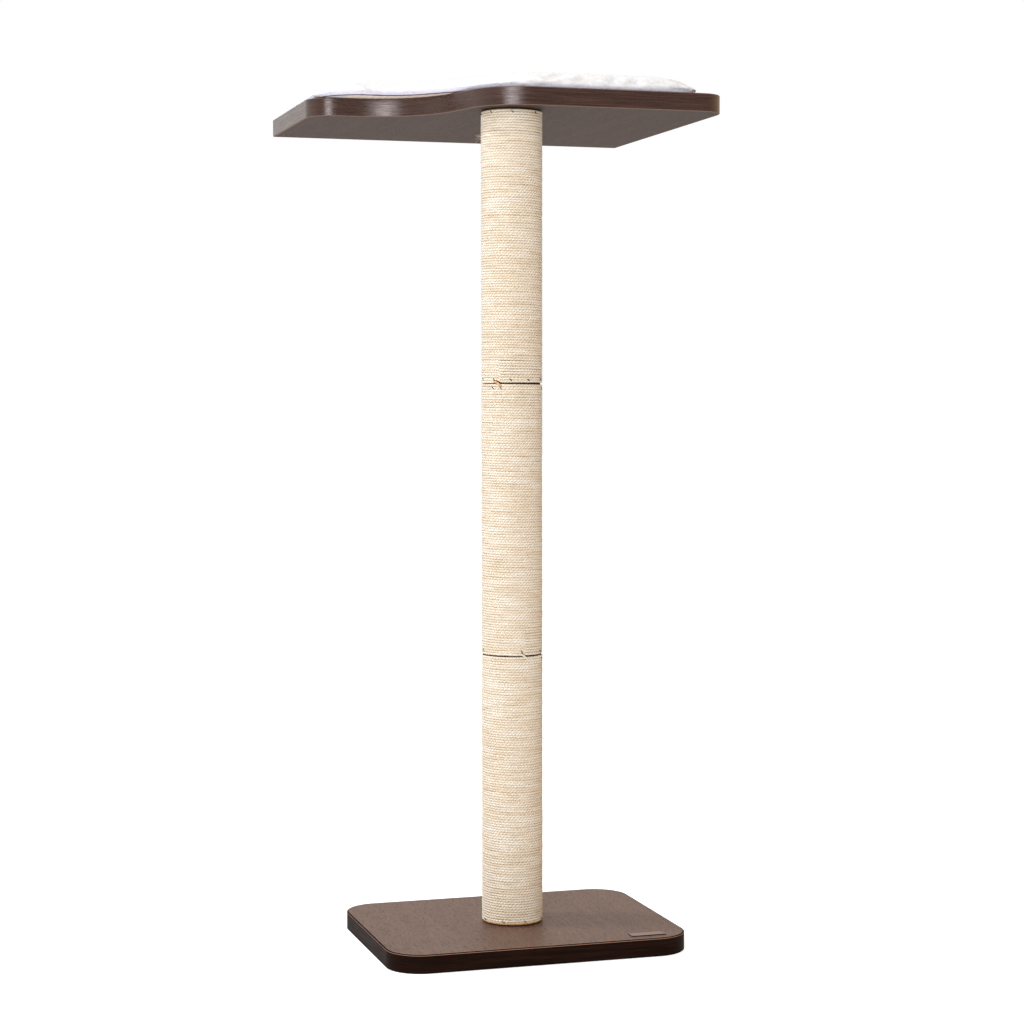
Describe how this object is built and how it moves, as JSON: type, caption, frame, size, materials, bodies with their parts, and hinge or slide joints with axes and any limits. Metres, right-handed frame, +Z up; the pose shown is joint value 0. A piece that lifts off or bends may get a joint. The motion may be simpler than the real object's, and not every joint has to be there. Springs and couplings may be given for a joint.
{
  "type": "cat window perch",
  "caption": "Free-standing cat window perch: a wavy laminated shelf with a plush cushion, carried by a sisal-wound post on a flat base with rounded corners.",
  "frame": {"origin": "on the floor, below the middle of the overall footprint", "axes": "+X to the right along the shelf's long side, +Y to the shelf's straight rear edge, +Z up"},
  "size_m": [0.584, 0.597, 1.2883],
  "materials": {
    "board_laminate": "satin",
    "edge_band": "satin",
    "plate": "matte",
    "cardboard": "matte",
    "plug_wood": "matte",
    "zinc_steel": "satin",
    "sisal": "matte",
    "plush": "matte",
    "foam": "matte"
  },
  "bodies": {
    "stand": {"base_board": "board_laminate", "base_edge_band": "edge_band", "base_plate": "plate", "threaded_inserts": "zinc_steel", "joining_studs": "zinc_steel", "clamp_bolts": "zinc_steel", "clamp_washers": "zinc_steel", "sisal_end_turns": "sisal", "shelf_board": "board_laminate", "shelf_edge_band": "edge_band", "post_tube_lower": "cardboard", "end_plugs_lower": "plug_wood", "sisal_winding_lower": "sisal", "post_tube_middle": "cardboard", "end_plugs_middle": "plug_wood", "sisal_winding_middle": "sisal", "post_tube_upper": "cardboard", "end_plugs_upper": "plug_wood", "sisal_winding_upper": "sisal"},
    "cushion": {"cushion_cover": "plush", "cushion_foam": "foam"}
  },
  "joints": [
    {"name": "cushion_lift", "type": "slide", "parent": "stand", "child": "cushion", "axis": [0, 0, 1], "range_m": [0, 0.15]}
  ]
}
